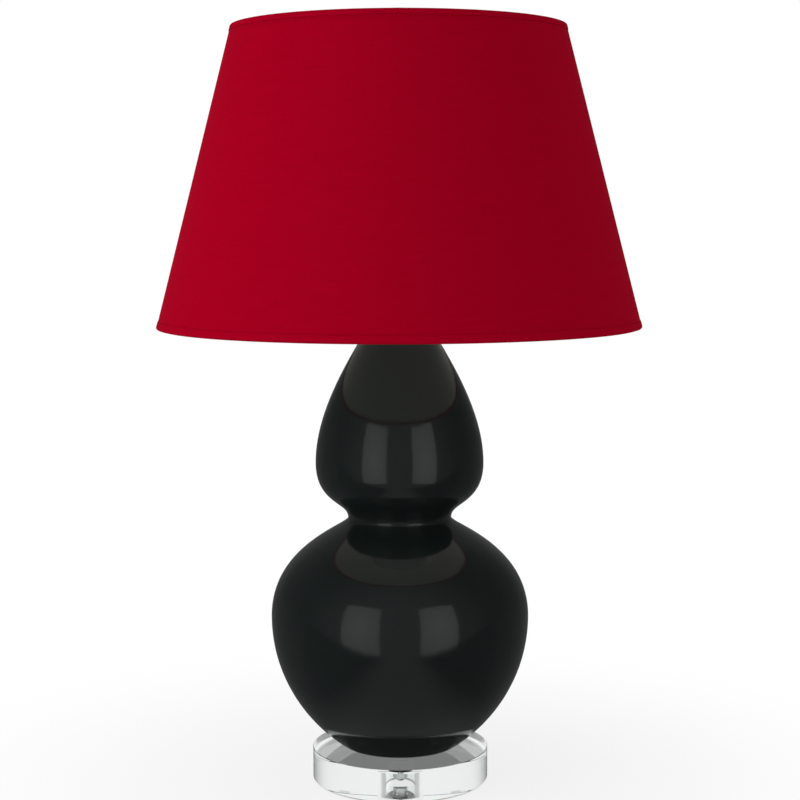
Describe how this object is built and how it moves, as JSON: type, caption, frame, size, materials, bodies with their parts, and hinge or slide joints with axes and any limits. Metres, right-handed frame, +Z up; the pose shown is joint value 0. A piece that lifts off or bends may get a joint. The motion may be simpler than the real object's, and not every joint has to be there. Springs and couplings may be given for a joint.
{
  "type": "table lamp",
  "caption": "Double gourd table lamp of black glazed ceramic on a clear disc, with a harp, a screw socket and a red hardback empire shade that lifts off.",
  "frame": {"origin": "on the table under the lamp's axis, at the underside of the bumper feet", "axes": "+Z up, -Y towards the front with the switch knob, +X to the right; the harp stands across X"},
  "size_m": [0.4825, 0.4826, 0.7736],
  "materials": {
    "black_glaze": "gloss",
    "black_gloss_plastic": "gloss",
    "black_phenolic": "matte",
    "black_rubber": "matte",
    "brass": "satin",
    "clear_acrylic": "polished",
    "clear_rubber": "satin",
    "fibre_card": "matte",
    "frosted_glass": "satin",
    "plated_cap": "satin",
    "polished_nickel": "polished",
    "red_cloth": "matte",
    "satin_nickel": "satin",
    "white_styrene": "matte",
    "white_wire": "satin",
    "zinc_steel": "satin"
  },
  "bodies": {
    "lamp_base": {"bumper_feet": "clear_rubber", "base_disc": "clear_acrylic", "base_stud": "zinc_steel", "base_flat_washer": "zinc_steel", "base_lock_washer": "zinc_steel", "base_nut": "zinc_steel", "base_spacer": "polished_nickel", "gourd_body": "black_glaze", "cord_bushing": "black_rubber", "floor_washer": "zinc_steel", "pipe_coupling": "brass", "lamp_pipe": "zinc_steel", "lip_gasket": "black_rubber", "vase_cap": "polished_nickel", "neck_tube": "polished_nickel", "lock_nut": "zinc_steel", "harp_saddle": "satin_nickel", "socket_cap": "satin_nickel", "cap_set_screw": "zinc_steel", "socket_shell": "satin_nickel", "socket_insulator": "fibre_card", "socket_interior": "black_phenolic", "terminal_screws": "brass", "screw_shell": "brass", "centre_contact": "brass", "switch_bushing": "brass"},
    "switch": {"switch_stem": "brass", "switch_knob": "black_gloss_plastic"},
    "bulb": {"bulb_glass": "frosted_glass", "bulb_cap": "plated_cap", "bulb_contact": "brass"},
    "harp": {"harp_bow": "satin_nickel"},
    "left_sleeve": {"harp_sleeve_left": "satin_nickel"},
    "right_sleeve": {"harp_sleeve_right": "satin_nickel"},
    "swivel": {"harp_swivel": "brass"},
    "shade": {"shade_fabric": "red_cloth", "shade_liner": "white_styrene", "shade_top_ring": "white_wire", "shade_bottom_ring": "white_wire", "shade_top_hem": "red_cloth", "shade_bottom_hem": "red_cloth", "spider_hub": "satin_nickel", "spider_arms": "satin_nickel"},
    "finial": {"finial_knob": "polished_nickel", "finial_insert": "brass"}
  },
  "joints": [
    {"name": "switch_turn", "type": "hinge", "parent": "lamp_base", "child": "switch", "pos_m": [0, -0.03, 0.52055], "axis": [0, -1, 0], "continuous": true},
    {"name": "bulb_lift", "type": "slide", "parent": "lamp_base", "child": "bulb", "axis": [0, 0, 1], "range_m": [0, 0.03]},
    {"name": "harp_lift", "type": "slide", "parent": "lamp_base", "child": "harp", "axis": [0, 0, 1], "range_m": [0, 0.03]},
    {"name": "left_sleeve_lift", "type": "slide", "parent": "harp", "child": "left_sleeve", "axis": [0, 0, 1], "range_m": [0, 0.012]},
    {"name": "right_sleeve_lift", "type": "slide", "parent": "harp", "child": "right_sleeve", "axis": [0, 0, 1], "range_m": [0, 0.012]},
    {"name": "shade_turn", "type": "hinge", "parent": "harp", "child": "swivel", "pos_m": [0, 0, 0.74105], "axis": [0, 0, 1], "continuous": true},
    {"name": "shade_lift", "type": "slide", "parent": "swivel", "child": "shade", "axis": [0, 0, 1], "range_m": [0, 0.3]},
    {"name": "finial_lift", "type": "slide", "parent": "shade", "child": "finial", "axis": [0, 0, 1], "range_m": [0, 0.012]}
  ]
}
